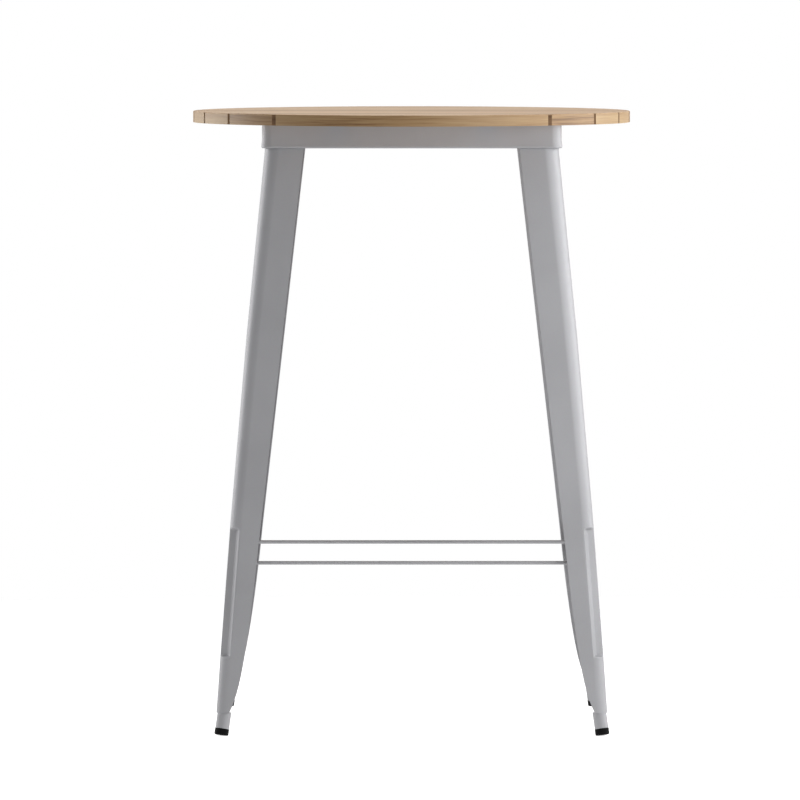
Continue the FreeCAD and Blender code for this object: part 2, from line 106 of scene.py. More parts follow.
# Screws: shares of the head's radius, for half the width and length of the recess's slots,
# and of the head's height, for their depth and for where the shank starts
SCREW_HEAD_SIDES = 24
SCREW_SHANK_SIDES = 16
SLOT_WIDTH = 0.14
SLOT_LENGTH = 0.62
SLOT_DEPTH = 0.55
SHANK_START = 0.9

# How near a point of a CAD mesh is to the apron's roll, a height of the leg or its flute to be on it
ROLL_TOLERANCE = 0.2 * MM
HEIGHT_TOLERANCE = 1 * MM
FLUTE_TOLERANCE = 0.15 * MM
# Degrees from the leg's diagonal past which a point is on the flute's rim, and stays
RIM_ANGLE = 44
# How far the panel's rims may lie past its ends, and off the diagonal in panel radii
PANEL_MARGIN = 5 * MM
PANEL_REACH = 1.3

PHOTO_WIDTH = 800
SENSOR_WIDTH = 36.0
WHITE = (1.0, 1.0, 1.0, 1.0)
# Name, place, target and width of each soft box, and the setting that holds its power
SOFT_BOXES = (
    ("right_soft_box", (2.0, 0.0, 1.1), (0.0, 0.0, 0.6), 1.4, "right_power"),
    ("left_soft_box", (-1.88, 0.68, 1.0), (0.0, 0.0, 0.6), 1.4, "left_power"),
    ("front_soft_box", (0.9, -1.1, 0.9), (0.2, 0.0, 0.7), 0.9, "front_power"),
    ("top_soft_box", (0.0, -0.3, 3.0), (0.0, 0.0, 1.0), 1.6, "top_power"),
)


# Settings


def linear(hex_text):
    """A linear RGBA colour from an sRGB hex value."""
    channels = [int(hex_text[start : start + 2], 16) / 255 for start in (0, 2, 4)]
    return tuple(c / 12.92 if c <= 0.04045 else ((c + 0.055) / 1.055) ** 2.4 for c in channels) + (1.0,)


def colour_property(name, description, hex_text):
    """A colour that starts from an sRGB hex value."""
    return FloatVectorProperty(
        name=name, description=description, subtype="COLOR", size=4, min=0, max=1, default=linear(hex_text)
    )


def length_property(name, description, millimetres):
    """A length that starts from millimetres."""
    return FloatProperty(name=name, description=description, default=millimetres * MM, unit="LENGTH")


def place_property(name, description, metres):
    """A point in the frame."""
    return FloatVectorProperty(
        name=name, description=description, subtype="XYZ", unit="LENGTH", default=metres
    )


def power_property(name, description, watts):
    """The power of a lamp."""
    return FloatProperty(name=name, description=description, unit="POWER", default=watts)


class TopSettings(bpy.types.PropertyGroup):
    """Sizes and colours of the round top."""

    rim_sides: IntProperty(name="Rim sides", description="Flat sides round the whole rim", default=224)
    edge_round: length_property("Edge round", "Radius of the boards' eased edges", 1.6)
    groove_clearance: length_property("Groove clearance", "Room round the bearers in the boards", 0.3)
    light_grain: colour_property("Light grain", "Palest wood between the growth rings", "D6B997")
    mid_grain: colour_property("Mid grain", "Main colour of the wood", "C09D78")
    dark_grain: colour_property("Dark grain", "Darkest streaks of the wood", "8C6845")
    # Painted shade: these two colours darken the upright rim and the boards' sides in the gaps, where less
    # light falls
    rim_painted_shade: colour_property("Rim tone", "Darkens the sawn rim", "D0CBB8")
    gap_painted_shade: colour_property("Gap tone", "Darkens the boards' sides in the gaps", "A39581")


class BaseSettings(bpy.types.PropertyGroup):
    """Sizes and colours of the steel base, its fasteners and its feet."""

    roll_height: length_property("Roll height", "Where the apron's rolled edge meets its wall", 5.2)
    roll_swell: length_property("Roll swell", "How far up the wall the rolled edge swells from it", 8.0)
    flat_low: length_property("Flat low", "Height above which the leg's outer faces are flat", 126.0)
    flat_high: length_property("Flat high", "Height below which they are flat", 368.0)
    panel_low: length_property("Panel low", "Height above which the panel pressed into a leg begins", 134.0)
    panel_high: length_property("Panel high", "Height below which the panel ends", 357.2)
    panel_radius: length_property("Panel radius", "Distance of the panel's rims from the sharp corner", 17.1)
    panel_slope: length_property("Panel slope", "Length of the sloping walls at the panel's ends", 4.0)
    panel_round: length_property("Panel round", "Rounding of the panel's rims", 0.9)
    plate_edge: length_property("Plate edge", "Rounding of the angles' and gussets' edges", 0.25)
    foot_edge: length_property("Foot edge", "Rounding of the collars' and caps' edges", 0.4)
    leg_bolt_flats: length_property("Leg bolt flats", "Width of the leg bolts' heads", 10.0)
    leg_bolt_head: length_property("Leg bolt head", "Height of the leg bolts' heads", 4.0)
    leg_bolt_shank: length_property("Leg bolt shank", "Diameter of the leg bolts", 6.0)
    rod_bolt_flats: length_property("Rod bolt flats", "Width of the rod bolts' heads and nuts", 8.0)
    rod_bolt_head: length_property("Rod bolt head", "Height of the rod bolts' heads", 3.5)
    rod_bolt_shank: length_property("Rod bolt shank", "Diameter of the rod bolts", 5.0)
    nut_clearance: length_property("Nut clearance", "How much wider a nut's bore is than its bolt", 0.1)
    coat: colour_property("Powder coat", "Silver-grey coat of the sheet metal", "9C9C9F")
    zinc: colour_property("Zinc", "Plating of the screws, bolts and nuts", "C2C4C6")
    rubber: colour_property("Rubber", "Black rubber of the foot caps", "070708")


class StageSettings(bpy.types.PropertyGroup):
    """Camera, lamps and floor of the studio."""

    focal_pixels: FloatProperty(
        name="Focal length",
        description="Focal length in pixels of an 800 pixel wide picture",
        default=10316.0,
    )
    camera_place: place_property("Camera place", "Where the camera stands", (-0.04, -18.0, 1.442))
    camera_target: place_property("Camera target", "Middle of the picture", (-0.0201, 0.0, 0.5616))
    right_power: power_property("Right lamp", "Power of the right soft box", 29.0)
    left_power: power_property("Left lamp", "Power of the left soft box", 23.0)
    front_power: power_property("Front lamp", "Power of the front soft box", 7.2)
    top_power: power_property("Top lamp", "Power of the overhead soft box", 22.0)
    ambient: FloatProperty(name="Ambient", description="Strength of the light from all round", default=0.1)
    floor_radius: length_property("Floor radius", "Radius of the round floor", 3200.0)
    floor_tone: colour_property("Floor tone", "Pale grey of the floor", "E6E6E6")
    floor_glow: FloatProperty(
        name="Floor glow", description="White that the camera sees in the floor", default=0.8
    )
    floor_bounce: FloatProperty(
        name="Floor bounce", description="Light that the floor sends up", default=0.45
    )


# Materials


def set_inputs(node, inputs):
    """Gives a node's inputs their values, or their links from other nodes' sockets."""
    for key, value in inputs.items():
        if isinstance(value, bpy.types.NodeSocket):
            node.id_data.links.new(value, node.inputs[key])
        else:
            node.inputs[key].default_value = value


def add_node(tree, kind, inputs=None, **settings):
    """A shader node with its settings and its inputs."""
    node = tree.nodes.new(kind)
    for name, value in settings.items():
        setattr(node, name, value)
    set_inputs(node, inputs or {})
    return node


def new_material(name):
    """An empty node material and its surface shader, already joined to the output."""
    material = bpy.data.materials.new(name)
    material.use_nodes = True
    tree = material.node_tree
    tree.nodes.clear()
    shader = add_node(tree, "ShaderNodeBsdfPrincipled")
    add_node(tree, "ShaderNodeOutputMaterial", {"Surface": shader.outputs["BSDF"]})
    return material, tree, shader


def set_stops(ramp, stops):
    """Gives a colour ramp its stops, as (position, colour) pairs."""
    elements = ramp.color_ramp.elements
    while len(elements) < len(stops):
        elements.new(0.5)
    for element, (position, colour) in zip(elements, stops):
        element.position = position
        element.color = colour


def scaled(colour, factor):
    """A colour made lighter or darker."""
    return [channel * factor for channel in colour[:3]] + [1.0]


def per_metre(millimetres):
    """A pattern's scale from the real size of its features."""
    return 1 / (millimetres * MM)


def sealed_wood(settings):
    """Sealed light brown wood: long streaks along each board, fine fibres and a soft satin seal, with painted
    shade on the upright rim and on the boards' sides in the gaps.
    """
    material, tree, shader = new_material("Sealed Wood Boards")
    place = add_node(tree, "ShaderNodeTexCoord").outputs["Object"]
    board, rim, side = (
        add_node(tree, "ShaderNodeAttribute", attribute_name=name).outputs["Fac"]
        for name in ("board", "rim", "side")
    )
    # The rim is a band with its grain along the curve
    split = add_node(tree, "ShaderNodeSeparateXYZ", {"Vector": place}).outputs
    turn = add_node(tree, "ShaderNodeMath", {0: split["Y"], 1: split["X"]}, operation="ARCTAN2")
    arc = add_node(tree, "ShaderNodeMath", {0: turn.outputs["Value"], 1: CAD_BOX[1][0]}, operation="MULTIPLY")
    curve = add_node(tree, "ShaderNodeCombineXYZ", {"X": arc.outputs["Value"], "Z": split["Z"]})
    along = add_node(
        tree, "ShaderNodeMix", {"Factor": rim, "A": place, "B": curve.outputs["Vector"]}, data_type="VECTOR"
    )
    # Each board is cut from another part of the pattern
    shift = add_node(tree, "ShaderNodeVectorMath", {0: board, 1: (3.7, 1.3, 0.9)}, operation="MULTIPLY")
    own = add_node(
        tree,
        "ShaderNodeVectorMath",
        {0: along.outputs["Result"], 1: shift.outputs["Vector"]},
        operation="ADD",
    ).outputs["Vector"]

    streak_size = [per_metre(size) for size in (420, 16, 16)]
    streaks = add_node(tree, "ShaderNodeMapping", {"Vector": own, "Scale": streak_size})
    figure = add_node(
        tree,
        "ShaderNodeTexNoise",
        {
            "Vector": streaks.outputs["Vector"],
            "Scale": 1.0,
            "Detail": 5.0,
            "Roughness": 0.58,
            "Distortion": 0.5,
        },
    )
    # Real fibres are finer than a pixel, so they are drawn about three times as wide
    fibre_size = [per_metre(size) for size in (90, 2.2, 2.2)]
    fibres = add_node(tree, "ShaderNodeMapping", {"Vector": own, "Scale": fibre_size})
    fibre = add_node(
        tree,
        "ShaderNodeTexNoise",
        {"Vector": fibres.outputs["Vector"], "Scale": 1.0, "Detail": 3.0, "Roughness": 0.65},
    ).outputs["Fac"]
    grain = add_node(
        tree, "ShaderNodeMix", {"Factor": 0.38, "A": figure.outputs["Fac"], "B": fibre}, data_type="FLOAT"
    )
    board_tone = add_node(tree, "ShaderNodeTexWhiteNoise", {"W": board}, noise_dimensions="1D")
    lifted = add_node(
        tree,
        "ShaderNodeMath",
        {0: board_tone.outputs["Value"], 1: 0.1, 2: grain.outputs["Result"]},
        operation="MULTIPLY_ADD",
    )
    ramp = add_node(tree, "ShaderNodeValToRGB", {"Fac": lifted.outputs["Value"]})
    set_stops(ramp, [(0.4, settings.dark_grain), (0.51, settings.mid_grain), (0.66, settings.light_grain)])
    colour = ramp.outputs["Color"]
    # Painted shade: the rim and the sides in the gaps are darkened by multiplying in their tones
    for where, shade in ((rim, settings.rim_painted_shade), (side, settings.gap_painted_shade)):
        darker = add_node(
            tree,
            "ShaderNodeMix",
            {"Factor": where, "A": colour, "B": shade},
            data_type="RGBA",
            blend_type="MULTIPLY",
        )
        colour = darker.outputs["Result"]
    rough = add_node(tree, "ShaderNodeMapRange", {"Value": fibre, "To Min": 0.44, "To Max": 0.62})
    relief = add_node(tree, "ShaderNodeBump", {"Strength": 0.35, "Distance": 0.3 * MM, "Height": fibre})
    set_inputs(
        shader,
        {"Base Color": colour, "Roughness": rough.outputs["Result"], "Normal": relief.outputs["Normal"]},
    )
    return material


def powder_coated_steel(settings):
    """Silver-grey powder coat: metal flake under a satin skin with the faint orange peel of baked powder."""
    material, tree, shader = new_material("Silver Grey Powder Coat")
    place = add_node(tree, "ShaderNodeTexCoord").outputs["Object"]
    cloud = add_node(
        tree,
        "ShaderNodeTexNoise",
        {"Vector": place, "Scale": per_metre(110), "Detail": 2.0, "Roughness": 0.5},
    ).outputs["Fac"]
    # Orange peel is about a millimetre wide and flake far finer. Neither would show, so the peel is
    # drawn twice as wide, and the flake nearly as wide as real peel
    peel = add_node(
        tree,
        "ShaderNodeTexNoise",
        {"Vector": place, "Scale": per_metre(2.2), "Detail": 2.0, "Roughness": 0.45},
    ).outputs["Fac"]
    flake = add_node(tree, "ShaderNodeTexVoronoi", {"Vector": place, "Scale": per_metre(0.9)})
    ramp = add_node(tree, "ShaderNodeValToRGB", {"Fac": cloud})
    set_stops(ramp, [(0.3, scaled(settings.coat, 0.95)), (0.7, scaled(settings.coat, 1.05))])
    sparkle = add_node(
        tree,
        "ShaderNodeMix",
        {"Factor": 0.05, "A": ramp.outputs["Color"], "B": flake.outputs["Color"]},
        data_type="RGBA",
        blend_type="SOFT_LIGHT",
    )
    rough = add_node(tree, "ShaderNodeMapRange", {"Value": cloud, "To Min": 0.5, "To Max": 0.6})
    relief = add_node(tree, "ShaderNodeBump", {"Strength": 0.08, "Distance": 0.2 * MM, "Height": peel})
    set_inputs(
        shader,
        {
            "Base Color": sparkle.outputs["Result"],
            "Metallic": 0.3,
            "Roughness": rough.outputs["Result"],
            "Normal": relief.outputs["Normal"],
        },
    )
    return material


def zinc_plated_steel(settings):
    """Bright zinc on steel: a cool mirror-like grey, mottled where the plating is thin."""
    material, tree, shader = new_material("Zinc Plated Steel")
    place = add_node(tree, "ShaderNodeTexCoord").outputs["Object"]
    mottle = add_node(
        tree,
        "ShaderNodeTexNoise",
        {"Vector": place, "Scale": per_metre(1.6), "Detail": 3.0, "Roughness": 0.6},
    ).outputs["Fac"]
    ramp = add_node(tree, "ShaderNodeValToRGB", {"Fac": mottle})
    set_stops(ramp, [(0.35, scaled(settings.zinc, 0.8)), (0.65, settings.zinc)])
    rough = add_node(tree, "ShaderNodeMapRange", {"Value": mottle, "To Min": 0.28, "To Max": 0.46})
    set_inputs(
        shader,
        {"Base Color": ramp.outputs["Color"], "Metallic": 1.0, "Roughness": rough.outputs["Result"]},
    )
    return material


def black_rubber(settings):
    """Moulded black rubber: dull, slightly dusty, with a fine pebbled skin."""
    material, tree, shader = new_material("Moulded Black Rubber")
    place = add_node(tree, "ShaderNodeTexCoord").outputs["Object"]
    dust = add_node(
        tree,
        "ShaderNodeTexNoise",
        {"Vector": place, "Scale": per_metre(9), "Detail": 4.0, "Roughness": 0.6},
    ).outputs["Fac"]
    skin = add_node(tree, "ShaderNodeTexNoise", {"Vector": place, "Scale": per_metre(0.8), "Detail": 2.0})
    ramp = add_node(tree, "ShaderNodeValToRGB", {"Fac": dust})
    set_stops(ramp, [(0.35, settings.rubber), (0.75, scaled(settings.rubber, 2.2))])
    rough = add_node(tree, "ShaderNodeMapRange", {"Value": dust, "To Min": 0.6, "To Max": 0.8})
    relief = add_node(
        tree, "ShaderNodeBump", {"Strength": 0.2, "Distance": 0.15 * MM, "Height": skin.outputs["Fac"]}
    )
    set_inputs(
        shader,
        {
            "Base Color": ramp.outputs["Color"],
            "Roughness": rough.outputs["Result"],
            "Specular IOR Level": 0.08,
            "Normal": relief.outputs["Normal"],
        },
    )
    return material


MATERIALS = {
    "slat": (sealed_wood, "bar_table_top"),
    "coated_steel": (powder_coated_steel, "bar_table_base"),
    "zinc_steel": (zinc_plated_steel, "bar_table_base"),
    "foot_rubber": (black_rubber, "bar_table_base"),
}
made_materials = {}


def material_for(slot):
    """The slot's material, made at its first use."""
    if slot not in made_materials:
        make, settings = MATERIALS[slot]
        made_materials[slot] = make(getattr(bpy.context.scene, settings))
    return made_materials[slot]


# Modelling


def only(obj):
    """Makes an object the only one that is selected, and active."""
    bpy.ops.object.select_all(action="DESELECT")
    obj.select_set(True)
    bpy.context.view_layer.objects.active = obj


@contextmanager
def editing(obj, selection="SELECT"):
    """Edit mode on an object, with all or nothing of it selected, or with None what was selected before."""
    only(obj)
    bpy.ops.object.mode_set(mode="EDIT")
    if selection:
        bpy.ops.mesh.select_all(action=selection)
    yield
    bpy.ops.object.mode_set(mode="OBJECT")


def select_sharp(degrees):
    """Selects the edges, in edit mode, whose faces turn by more than some degrees."""
    bpy.ops.mesh.select_mode(type="EDGE")
    bpy.ops.mesh.edges_select_sharp(sharpness=math.radians(degrees))


def settle(obj):
    """Puts an object's place, turn and scale into its mesh."""
    only(obj)
    bpy.ops.object.transform_apply(location=True, rotation=True, scale=True)


def added(name):
    """The primitive that was just added, named, with its place in its mesh."""
    obj = bpy.context.object
    obj.name = name
    settle(obj)
    return obj


def apply_modifier(obj, kind, **settings):
    """Adds a modifier with its settings and applies it."""
    only(obj)
    modifier = obj.modifiers.new(kind.title(), kind)
    for name, value in settings.items():
        setattr(modifier, name, value)
    bpy.ops.object.modifier_apply(modifier=modifier.name)


def bevel(obj, width, segments, degrees):
    """Bevels every edge whose faces turn by more than some degrees."""
    limit = math.radians(degrees)
    apply_modifier(obj, "BEVEL", width=width, segments=segments, limit_method="ANGLE", angle_limit=limit)


def smooth(obj, degrees):
    """Smooth shading up to an angle, with the large faces kept flat."""
    only(obj)
    bpy.ops.object.shade_smooth_by_angle(angle=math.radians(degrees))
    apply_modifier(obj, "WEIGHTED_NORMAL", keep_sharp=True, weight=80)


def keep_flats(obj):
    """Keeps wide faces flat where they meet at an angle too small to see."""
    with editing(obj, "DESELECT"):
        select_sharp(SLIGHT_TURN)
        bpy.ops.mesh.select_all(action="INVERT")
        bpy.ops.mesh.mark_sharp()


def joined(objects, name):
    """One object of several, which are used up."""
    bpy.ops.object.select_all(action="DESELECT")
    for obj in objects:
        obj.select_set(True)
    bpy.context.view_layer.objects.active = objects[0]
    bpy.ops.object.join()
    obj = bpy.context.object
    obj.name = name
    return obj


def dress(obj, slot, *nodes):
    """Gives a finished piece its material, its body and the nodes that it stands for."""
    obj.data.materials.clear()
    obj.data.materials.append(material_for(slot))
    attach(obj, BODY)
    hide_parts(*nodes)


def merged_copy(node, name, reshape=None):
    """A copy of a node's mesh, reshaped if need be, with its loose triangles joined into whole faces."""
    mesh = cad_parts[node].data.copy()
    obj = bpy.data.objects.new(name, mesh)
    bpy.context.scene.collection.objects.link(obj)
    with editing(obj):
        bpy.ops.mesh.remove_doubles(threshold=MERGE_DISTANCE)
    if reshape:
        reshape(mesh.vertices)
    with editing(obj):
        bpy.ops.mesh.dissolve_limited(angle_limit=math.radians(PLANE_TURN))
    return obj


def loose_boxes(node):
    """Lowest and highest corner of each separate solid in a group node."""
    with editing(merged_copy(node, "loose")):
        bpy.ops.mesh.separate(type="LOOSE")
    boxes = []
    for obj in list(bpy.context.selected_objects):
        # A bound box lists its lowest corner first and its highest seventh
        boxes.append((Vector(obj.bound_box[0]), Vector(obj.bound_box[6])))
        bpy.data.meshes.remove(obj.data)
    return boxes


def on_axis(box, height):
    """The point at a height in the middle of a box, as seen from above."""
    low, high = box
    return Vector(((low.x + high.x) / 2, (low.y + high.y) / 2, height))


def bisect(obj, y, clear_below):
    """Cuts an object at a plane across Y, closes it and drops one side."""
    with editing(obj):
        bpy.ops.mesh.bisect(
            plane_co=(0, y, 0),
            plane_no=(0, 1, 0),
            use_fill=True,
            clear_inner=clear_below,
            clear_outer=not clear_below,
        )


def box_at(low, high, name):
    """A block between two corners."""
    bpy.ops.object.select_all(action="DESELECT")
    bpy.ops.mesh.primitive_cube_add(size=1, location=(low + high) / 2)
    bpy.context.object.scale = high - low
    return added(name)


def drum(sides, radius, low, high, name):
    """An upright prism of a given number of sides, from low to high."""
    middle = (0, 0, (low + high) / 2)
    bpy.ops.object.select_all(action="DESELECT")
    bpy.ops.mesh.primitive_cylinder_add(vertices=sides, radius=radius, depth=high - low, location=middle)
    return added(name)


def combine(obj, tool, operation):
    """Unites an object with a tool, cuts it by the tool or keeps what they share; the tool is used up."""
    apply_modifier(obj, "BOOLEAN", object=tool, operation=operation, solver="EXACT")
    bpy.data.objects.remove(tool)


def ease_edges(obj, radius, chosen):
    """Rounds the sharp edges whose two ends are chosen by their place."""
    with editing(obj, "DESELECT"):
        select_sharp(SHARP_TURN)
    mesh = obj.data
    sharp = [edge for edge in mesh.edges if edge.select]
    picked = [edge for edge in sharp if all(chosen(mesh.vertices[end].co) for end in edge.vertices)]
    # Edit mode would also select the edges of any face that is still flagged
    for elements in (mesh.vertices, mesh.edges, mesh.polygons):
        elements.foreach_set("select", [False] * len(elements))
    for edge in picked:
        edge.select = True
    with editing(obj, None):
        bpy.ops.mesh.bevel(offset=radius, segments=3, affect="EDGES", clamp_overlap=False)


def copies_at(model, places, name):
    """Copies of a model at several places, as (point, axis), joined; the model itself is used up."""
    placed = []
    for point, axis in places:
        obj = model.copy()
        obj.data = model.data.copy()
        bpy.context.scene.collection.objects.link(obj)
        obj.location = point
        obj.rotation_mode = "QUATERNION"
        obj.rotation_quaternion = UP.rotation_difference(axis)
        settle(obj)
        placed.append(obj)
    bpy.data.objects.remove(model)
    return joined(placed, name)


def hexagon_head(across_flats, height, name):
    """A chamfered hexagon over a washer face, from its seat at the origin up along Z."""
    seat = WASHER_HEIGHT * height
    head = drum(6, across_flats / math.sqrt(3), seat, height, name)
    chamfer = drum(HEAD_SIDES, across_flats / 2 * CHAMFER_REACH, 0.0, height, "chamfer")
    bevel(chamfer, CHAMFER_HEIGHT * height, 2, SQUARE_TURN)
    combine(head, chamfer, "INTERSECT")
    washer_face = drum(HEAD_SIDES, across_flats / 2 * WASHER_REACH, 0.0, 2 * seat, "washer_face")
    combine(head, washer_face, "UNION")
    return head


def hexagon_bolt(across_flats, head_height, shank_diameter, length, name):
    """A bolt along Z with its head above the origin and its shank below."""
    bolt = hexagon_head(across_flats, head_height, name)
    shank = drum(SHANK_SIDES, shank_diameter / 2, -length, WASHER_HEIGHT * head_height, "shank")
    bevel(shank, TIP_CHAMFER * shank_diameter, 1, SQUARE_TURN)
    combine(bolt, shank, "UNION")
    smooth(bolt, SMOOTH_ROUND)
    return bolt


def hexagon_nut(across_flats, height, bore_diameter, name):
    """A nut along Z with its seat at the origin."""
    nut = hexagon_head(across_flats, height, name)
    combine(nut, drum(SHANK_SIDES, bore_diameter / 2, -height, 2 * height, "bore"), "DIFFERENCE")
    smooth(nut, SMOOTH_ROUND)
    return nut


def mark_faces(board, number, rim_radius):
    """Marks a board's number, its rim and its sides in the gaps on its faces, for the wood's grain and tone
    and its painted shade.
    """
    faces = board.data.polygons
    upright = [abs(face.normal.z) < UPRIGHT_RISE for face in faces]
    outside = [face.center.xy.length > rim_radius for face in faces]
    marks = {
        "board": [number] * len(faces),
        "rim": [stands and is_out for stands, is_out in zip(upright, outside)],
        "side": [stands and not is_out for stands, is_out in zip(upright, outside)],
    }
    for name, values in marks.items():
        mark = board.data.attributes.new(name, "FLOAT", "FACE")
        mark.data.foreach_set("value", [float(value) for value in values])


# Pieces


class BARTABLE_OT_boards(bpy.types.Operator):
    """Cut the round top into boards with eased edges, grooved below for the bearers"""

    bl_idname = "bar_table.boards"
    bl_label = "Boards"

    def execute(self, context):
        settings = context.scene.bar_table_top
        radius = max(CAD_BOX[1][0], CAD_BOX[1][1])
        room = Vector((settings.groove_clearance, settings.groove_clearance, 0))
        grooves = [(low - room - CUT_OVERLAP * UP, high + room) for low, high in map(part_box, STRAP_NODES)]
        for number, node in enumerate(SLAT_NODES):
            low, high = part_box(node)
            board = drum(settings.rim_sides, radius, low.z, high.z, f"board_{number + 1}")
            if node != SLAT_NODES[0]:
                bisect(board, low.y, clear_below=True)
            if node != SLAT_NODES[-1]:
                bisect(board, high.y, clear_below=False)
            for groove in grooves:
                combine(board, box_at(*groove, "groove"), "DIFFERENCE")
            ease_edges(board, settings.edge_round, lambda point: point.z > high.z - MERGE_DISTANCE)
            smooth(board, SMOOTH_ROUND)
            mark_faces(board, number, radius - 2 * settings.edge_round)
            dress(board, "slat", node)
        return {"FINISHED"}


class BARTABLE_OT_bearers(bpy.types.Operator):
    """Dress the two flat bearers that are let into the boards"""

    bl_idname = "bar_table.bearers"
    bl_label = "Bearers"

    def execute(self, context):
        for node in STRAP_NODES:
            bearer = merged_copy(node, node.replace("strap", "bearer"))
            dress(bearer, "coated_steel", node)
        return {"FINISHED"}


class BARTABLE_OT_board_screws(bpy.types.Operator):
    """Set a countersunk screw with a cross recess in every bearer hole"""

    bl_idname = "bar_table.board_screws"
    bl_label = "Board screws"

    def execute(self, context):
        boxes = loose_boxes("slat_screws")
        low, high = boxes[0]
        head = (high.x - low.x) / 2
        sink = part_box("strap_left")[1].z - low.z
        bpy.ops.object.select_all(action="DESELECT")
        bpy.ops.mesh.primitive_cone_add(
            vertices=SCREW_HEAD_SIDES, radius1=head, radius2=head / 2, depth=sink, location=(0, 0, sink / 2)
        )
        screw = added("screw")
        thin, long, deep = head * SLOT_WIDTH, head * SLOT_LENGTH, sink * SLOT_DEPTH
        for half in (Vector((thin, long, deep)), Vector((long, thin, deep))):
            combine(screw, box_at(-half, half, "recess"), "DIFFERENCE")
        shank = drum(SCREW_SHANK_SIDES, head / 2, SHANK_START * sink, high.z - low.z, "shank")
        combine(screw, shank, "UNION")
        smooth(screw, SMOOTH_ROUND)
        spots = [(on_axis(box, box[0].z), UP) for box in boxes]
        dress(copies_at(screw, spots, "board_screws"), "zinc_steel", "slat_screws")
        return {"FINISHED"}


class BARTABLE_OT_apron(bpy.types.Operator):
    """Dress the square apron, with its rolled edge swelling smoothly from the wall"""

    bl_idname = "bar_table.apron"
    bl_label = "Apron"

    def execute(self, context):
        settings = context.scene.bar_table_base
        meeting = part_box("apron")[0].z + settings.roll_height

        def swell(vertices):
            for vertex in vertices:
                if abs(vertex.co.z - meeting) < ROLL_TOLERANCE:
                    vertex.co.z += settings.roll_swell

        apron = merged_copy("apron", "apron_ring", swell)
        smooth(apron, SMOOTH_SHEET)
        dress(apron, "coated_steel", "apron")
        return {"FINISHED"}


class BARTABLE_OT_legs(bpy.types.Operator):
    """Dress the four pressed legs, with the flute pressed into a panel of two facets"""

    bl_idname = "bar_table.legs"
    bl_label = "Legs"

    def execute(self, context):
        settings = context.scene.bar_table_base
        low, high, radius = settings.panel_low, settings.panel_high, settings.panel_radius
        flat_low, flat_high = settings.flat_low, settings.flat_high
        diagonal = math.radians(45)
        half_facet = diagonal / 2

        def press_panel(vertices):
            """Flattens the corner's hollow into two facets that meet on the diagonal, with sloping ends."""
            outer_low, outer_high = (
                max(abs(vertex.co.x) for vertex in vertices if abs(vertex.co.z - z) < HEIGHT_TOLERANCE)
                for z in (flat_low, flat_high)
            )

            def corner_at(z):
                return outer_low + (outer_high - outer_low) * (z - flat_low) / (flat_high - flat_low)

            for vertex in vertices:
                place = vertex.co
                if not low < place.z < high:
                    continue
                inward = Vector([corner_at(place.z) - abs(side) for side in place.xy])
                off_diagonal = abs(diagonal - math.atan2(inward.y, inward.x))
                off_flute = abs(inward.length - radius)
                if off_flute > FLUTE_TOLERANCE or off_diagonal > math.radians(RIM_ANGLE):
                    continue
                inward *= math.cos(half_facet) / math.cos(half_facet - off_diagonal)
                place.z += settings.panel_slope if place.z < (low + high) / 2 else -settings.panel_slope
                corner = corner_at(place.z)
                place.x = math.copysign(corner - inward.x, place.x)
                place.y = math.copysign(corner - inward.y, place.y)

        def on_panel(point):
            near_corner = abs(abs(point.x) - abs(point.y)) < PANEL_REACH * radius
            return near_corner and low - PANEL_MARGIN < point.z < high + PANEL_MARGIN

        for corner in CORNERS:
            leg = merged_copy(f"leg_{corner}", f"pressed_leg_{corner}", press_panel)
            ease_edges(leg, settings.panel_round, on_panel)
            keep_flats(leg)
            smooth(leg, SMOOTH_LEG)
            dress(leg, "coated_steel", f"leg_{corner}")
        return {"FINISHED"}


class BARTABLE_OT_plates(bpy.types.Operator):
    """Dress the corner angles under the apron and the gussets in the legs, with broken edges"""

    bl_idname = "bar_table.plates"
    bl_label = "Angles and gussets"

    def execute(self, context):
        settings = context.scene.bar_table_base
        for corner in CORNERS:
            for node, name in (("bracket", "corner_angle"), ("gusset", "gusset_plate")):
                plate = merged_copy(f"{node}_{corner}", f"{name}_{corner}")
                bevel(plate, settings.plate_edge, 2, SQUARE_TURN)
                smooth(plate, SMOOTH_SHEET)
                dress(plate, "coated_steel", f"{node}_{corner}")
        return {"FINISHED"}


class BARTABLE_OT_leg_bolts(bpy.types.Operator):
    """Bolt each leg to its corner angle from inside the apron"""

    bl_idname = "bar_table.leg_bolts"
    bl_label = "Leg bolts"

    def execute(self, context):
        settings = context.scene.bar_table_base
        head = settings.leg_bolt_head
        spots = []
        # All the bolts have one length
        for low, high in loose_boxes("leg_bolts"):
            middle = (low + high) / 2
            along = 0 if abs(middle.x) > abs(middle.y) else 1
            outward = Vector((0, 0, 0))
            outward[along] = math.copysign(1.0, middle[along])
            length = high[along] - low[along]
            spots.append((middle - outward * (length / 2 - head), -outward))
        bolt = hexagon_bolt(settings.leg_bolt_flats, head, settings.leg_bolt_shank, length - head, "bolt")
        dress(copies_at(bolt, spots, "leg_bolts_zinc"), "zinc_steel", "leg_bolts")
        return {"FINISHED"}


class BARTABLE_OT_feet(bpy.types.Operator):
    """Dress the leaning collars and the black rubber caps"""

    bl_idname = "bar_table.feet"
    bl_label = "Feet"

    def execute(self, context):
        settings = context.scene.bar_table_base
        for node, name, slot in (
            ("foot_sockets", "foot_collars", "coated_steel"),
            ("foot_caps", "rubber_caps", "foot_rubber"),
        ):
            piece = merged_copy(node, name)
            bevel(piece, settings.foot_edge, 2, FOOT_TURN)
            smooth(piece, SMOOTH_SHEET)
            dress(piece, slot, node)
        return {"FINISHED"}


class BARTABLE_OT_rods(bpy.types.Operator):
    """Dress the four thin stretcher rods"""

    bl_idname = "bar_table.rods"
    bl_label = "Rods"

    def execute(self, context):
        for side in ("front", "rear", "left", "right"):
            rod = merged_copy(f"rod_{side}", f"stretcher_{side}")
            smooth(rod, SMOOTH_ROUND)
            dress(rod, "coated_steel", f"rod_{side}")
        return {"FINISHED"}


